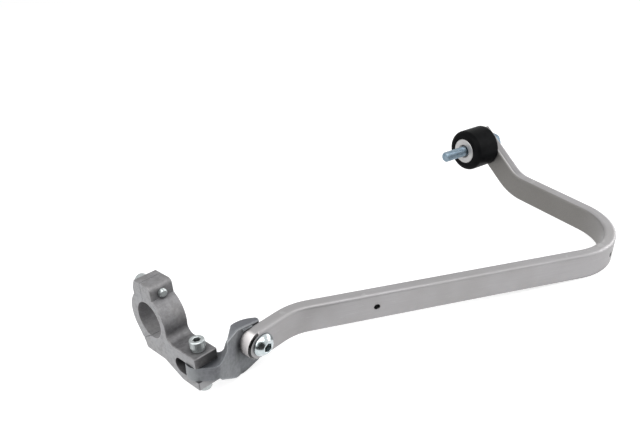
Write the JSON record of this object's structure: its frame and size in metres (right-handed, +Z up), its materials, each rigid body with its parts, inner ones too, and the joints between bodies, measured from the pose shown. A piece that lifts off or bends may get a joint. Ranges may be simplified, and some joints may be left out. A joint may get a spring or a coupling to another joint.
{
  "type": "motorcycle hand guard",
  "caption": "Bent flat bar guard for a motorcycle handlebar, on a swivel connector and a split clamp, with a black bar end weight.",
  "frame": {"origin": "centre of the handlebar bore at the clamp's middle width", "axes": "+X along the handlebar towards its end, +Y to the rider, +Z up"},
  "size_m": [0.3367, 0.1612, 0.0611],
  "materials": {
    "clamp_body": "sawn extrusion, bead blasted, satin grey",
    "clamp_cap": "sawn extrusion, bead blasted, satin grey",
    "pinch_bolt": "clear zinc plated",
    "jaw_bolt": "clear zinc plated",
    "jaw_nut": "clear zinc plated",
    "connector": "tumbled casting, dull blue grey",
    "bar": "brushed and clear anodised, bright machined end",
    "bar_bolt": "clear zinc plated, polished",
    "end_weight": "satin black",
    "end_spacer": "matt turned",
    "end_bolt": "blue zinc plated"
  },
  "bodies": {
    "clamp": {"clamp_body": "clamp_body", "clamp_cap": "clamp_cap", "pinch_bolt": "pinch_bolt", "jaw_bolt": "jaw_bolt", "jaw_nut": "jaw_nut"},
    "guard": {"connector": "connector", "bar": "bar", "bar_bolt": "bar_bolt", "end_weight": "end_weight", "end_spacer": "end_spacer", "end_bolt": "end_bolt"}
  },
  "joints": [
    {"name": "connector_swivel", "type": "hinge", "parent": "clamp", "child": "guard", "pos_m": [0, -0.03655, -0.0146], "axis": [0, 0.1219, 0.9925], "range_deg": [-100, 55]}
  ]
}
